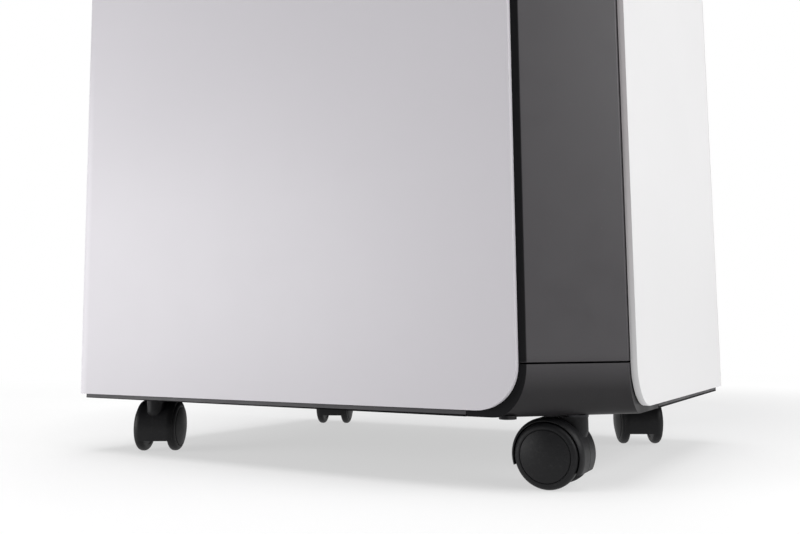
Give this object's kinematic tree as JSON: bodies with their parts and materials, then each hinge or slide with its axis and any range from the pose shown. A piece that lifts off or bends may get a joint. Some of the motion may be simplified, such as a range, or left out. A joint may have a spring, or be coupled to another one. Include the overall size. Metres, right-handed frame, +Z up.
{
  "type": "dehumidifier",
  "caption": "Upright compressor dehumidifier: white panels round a dark chamfered corner column, hooded twin-wheel casters, rear water tank and filter, top air outlet.",
  "frame": {"origin": "centre of the footprint, on the floor below the casters", "axes": "+Z up; the wide front panel faces -Y, the narrow right side panel faces +X, the tank and filter come out towards +Y"},
  "size_m": [0.4046, 0.278, 0.6],
  "materials": {
    "front_white": "fine satin grain",
    "side_white": "fine satin grain",
    "dark_plastic": "fine satin grain",
    "black_plastic": "fine grain",
    "grey_plastic": "fine grain",
    "gloss_black": "gloss",
    "black_enamel": "gloss enamel",
    "rubber": "matt",
    "fin_aluminium": "satin",
    "copper": "dull",
    "motor_steel": "brushed",
    "circuit_board": "solder mask",
    "zinc_steel": "zinc plated",
    "filter_net": "woven net",
    "tank_clear": "translucent",
    "float_foam": "foam",
    "button_grey": "satin",
    "caster_black": "satin",
    "wheel_black": "satin"
  },
  "bodies": {
    "cabinet": {"base_pan": "black_plastic", "corner_foot": "dark_plastic", "corner_column": "dark_plastic", "front_panel": "front_white", "right_panel": "side_white", "left_panel": "side_white", "rear_housing": "side_white", "top_frame": "black_plastic", "top_cover": "side_white", "control_lens": "gloss_black", "outlet_guard": "black_plastic", "tank_bay": "black_plastic", "drip_tray": "grey_plastic", "compressor": "black_enamel", "compressor_grommets": "rubber", "evaporator": "fin_aluminium", "condenser": "fin_aluminium", "refrigerant_pipes": "copper", "fan_scroll": "grey_plastic", "fan_motor": "motor_steel", "power_board": "circuit_board", "control_board": "circuit_board", "louvre_motor": "motor_steel", "grip_cups": "black_plastic", "drain_spigot": "grey_plastic", "cord_gland": "rubber", "rear_screws": "zinc_steel", "base_screws": "zinc_steel"},
    "tank": {"water_tank": "tank_clear", "tank_face": "side_white"},
    "tank_lid": {"tank_lid": "tank_clear"},
    "tank_handle": {"tank_handle": "black_plastic"},
    "tank_float": {"tank_float": "float_foam"},
    "filter": {"intake_grille": "grey_plastic", "filter_frame": "black_plastic", "filter_mesh": "filter_net"},
    "louvre": {"louvre": "side_white"},
    "fan": {"fan_wheel": "grey_plastic", "fan_shaft": "motor_steel"},
    "button_power": {"button_power": "button_grey"},
    "button_mode": {"button_mode": "button_grey"},
    "button_fan": {"button_fan": "button_grey"},
    "button_timer": {"button_timer": "button_grey"},
    "button_target": {"button_target": "button_grey"},
    "swivel_fl": {"hood_fl": "caster_black", "stem_fl": "zinc_steel"},
    "wheels_fl": {"wheels_fl": "wheel_black", "axle_fl": "zinc_steel"},
    "swivel_fr": {"hood_fr": "caster_black", "stem_fr": "zinc_steel"},
    "wheels_fr": {"wheels_fr": "wheel_black", "axle_fr": "zinc_steel"},
    "swivel_bl": {"hood_bl": "caster_black", "stem_bl": "zinc_steel"},
    "wheels_bl": {"wheels_bl": "wheel_black", "axle_bl": "zinc_steel"},
    "swivel_br": {"hood_br": "caster_black", "stem_br": "zinc_steel"},
    "wheels_br": {"wheels_br": "wheel_black", "axle_br": "zinc_steel"}
  },
  "joints": [
    {"name": "tank_slide", "type": "slide", "parent": "cabinet", "child": "tank", "axis": [0, 1, 0], "range_m": [0, 0.16]},
    {"name": "tank_lid_lift", "type": "slide", "parent": "tank", "child": "tank_lid", "axis": [0, 0, 1], "range_m": [0, 0.012]},
    {"name": "tank_handle_fold", "type": "hinge", "parent": "tank", "child": "tank_handle", "pos_m": [0, 0.09, 0.255], "axis": [1, 0, 0], "range_deg": [0, 90]},
    {"name": "tank_float_rise", "type": "hinge", "parent": "tank", "child": "tank_float", "pos_m": [0.1, 0.003, 0.228], "axis": [1, 0, 0], "range_deg": [0, 24]},
    {"name": "filter_pull", "type": "slide", "parent": "cabinet", "child": "filter", "axis": [0, 1, 0], "range_m": [0, 0.06]},
    {"name": "louvre_tilt", "type": "hinge", "parent": "cabinet", "child": "louvre", "pos_m": [0, 0.043, 0.596], "axis": [-1, 0, 0], "range_deg": [0, 70]},
    {"name": "fan_spin", "type": "hinge", "parent": "cabinet", "child": "fan", "pos_m": [0.01, 0, 0.432], "axis": [0, 1, 0], "continuous": true},
    {"name": "button_power_press", "type": "slide", "parent": "cabinet", "child": "button_power", "axis": [0, 0, -1], "range_m": [0, 0.001], "stiffness_N_per_m": 800},
    {"name": "button_mode_press", "type": "slide", "parent": "cabinet", "child": "button_mode", "axis": [0, 0, -1], "range_m": [0, 0.001], "stiffness_N_per_m": 800},
    {"name": "button_fan_press", "type": "slide", "parent": "cabinet", "child": "button_fan", "axis": [0, 0, -1], "range_m": [0, 0.001], "stiffness_N_per_m": 800},
    {"name": "button_timer_press", "type": "slide", "parent": "cabinet", "child": "button_timer", "axis": [0, 0, -1], "range_m": [0, 0.001], "stiffness_N_per_m": 800},
    {"name": "button_target_press", "type": "slide", "parent": "cabinet", "child": "button_target", "axis": [0, 0, -1], "range_m": [0, 0.001], "stiffness_N_per_m": 800},
    {"name": "swivel_fl_turn", "type": "hinge", "parent": "cabinet", "child": "swivel_fl", "pos_m": [-0.1406, -0.1172, 0.0375], "axis": [0, 0, 1], "continuous": true},
    {"name": "wheels_fl_roll", "type": "hinge", "parent": "swivel_fl", "child": "wheels_fl", "pos_m": [-0.14755, -0.10563, 0.0175], "axis": [-0.8572, -0.515, 0], "continuous": true},
    {"name": "swivel_fr_turn", "type": "hinge", "parent": "cabinet", "child": "swivel_fr", "pos_m": [0.1706, -0.0995, 0.0375], "axis": [0, 0, 1], "continuous": true},
    {"name": "wheels_fr_roll", "type": "hinge", "parent": "swivel_fr", "child": "wheels_fr", "pos_m": [0.15712, -0.10021, 0.0175], "axis": [0.0523, -0.9986, 0], "continuous": true},
    {"name": "swivel_bl_turn", "type": "hinge", "parent": "cabinet", "child": "swivel_bl", "pos_m": [-0.1446, 0.0987, 0.0375], "axis": [0, 0, 1], "continuous": true},
    {"name": "wheels_bl_roll", "type": "hinge", "parent": "swivel_bl", "child": "wheels_bl", "pos_m": [-0.15009, 0.11103, 0.0175], "axis": [-0.9135, -0.4067, 0], "continuous": true},
    {"name": "swivel_br_turn", "type": "hinge", "parent": "cabinet", "child": "swivel_br", "pos_m": [0.1542, 0.0848, 0.0375], "axis": [0, 0, 1], "continuous": true},
    {"name": "wheels_br_roll", "type": "hinge", "parent": "swivel_br", "child": "wheels_br", "pos_m": [0.14776, 0.09666, 0.0175], "axis": [-0.8788, -0.4772, 0], "continuous": true}
  ]
}
